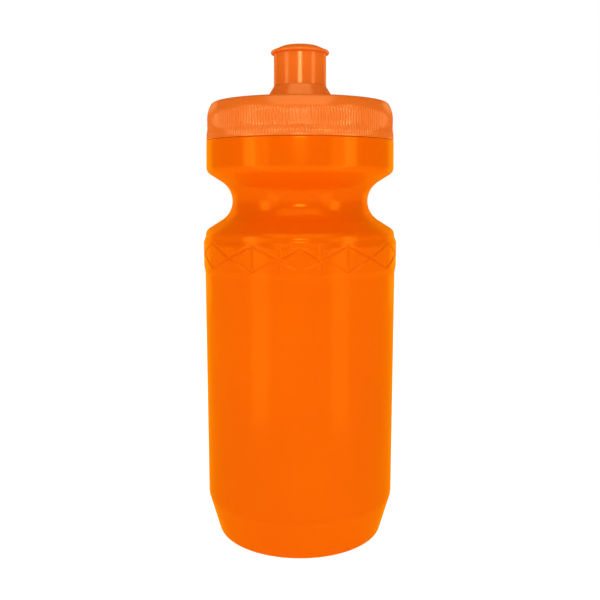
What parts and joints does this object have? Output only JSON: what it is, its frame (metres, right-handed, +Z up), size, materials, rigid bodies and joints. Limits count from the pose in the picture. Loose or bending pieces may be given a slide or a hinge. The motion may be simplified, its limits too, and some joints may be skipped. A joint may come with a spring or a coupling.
{
  "type": "sports squeeze bottle",
  "caption": "Squeeze bottle with a finger groove, engraved lozenge band, ribbed screw lid and push-pull spout.",
  "frame": {"origin": "on the bottle's axis, in the plane that it stands on", "axes": "+Z up along the axis; -Y is the front, where one of the two narrow lozenges of the band is"},
  "size_m": [0.074, 0.074, 0.1878],
  "materials": {
    "bottle": "blow-moulded low-density polyethylene, satin, slightly translucent",
    "lid": "injection-moulded polypropylene, satin",
    "seal": "moulded silicone, matte",
    "spout": "injection-moulded polyethylene, satin"
  },
  "bodies": {
    "bottle": {"bottle": "bottle"},
    "seal": {"sealing_ring": "seal"},
    "lid": {"screw_lid": "lid"},
    "spout": {"push_pull_spout": "spout"}
  },
  "joints": [
    {"name": "lid_rise", "type": "slide", "parent": "bottle", "child": "seal", "axis": [0, 0, 1], "range_m": [0, 0.01261]},
    {"name": "lid_turn", "type": "hinge", "parent": "seal", "child": "lid", "pos_m": [0, 0, 0.16], "axis": [0, 0, 1], "range_deg": [0, 1080]},
    {"name": "spout_pull", "type": "slide", "parent": "lid", "child": "spout", "axis": [0, 0, 1], "range_m": [0, 0.006]}
  ],
  "couplings": [
    {"joint": "lid_rise", "follows": "lid_turn", "m_per_rad": 0.00066845}
  ]
}
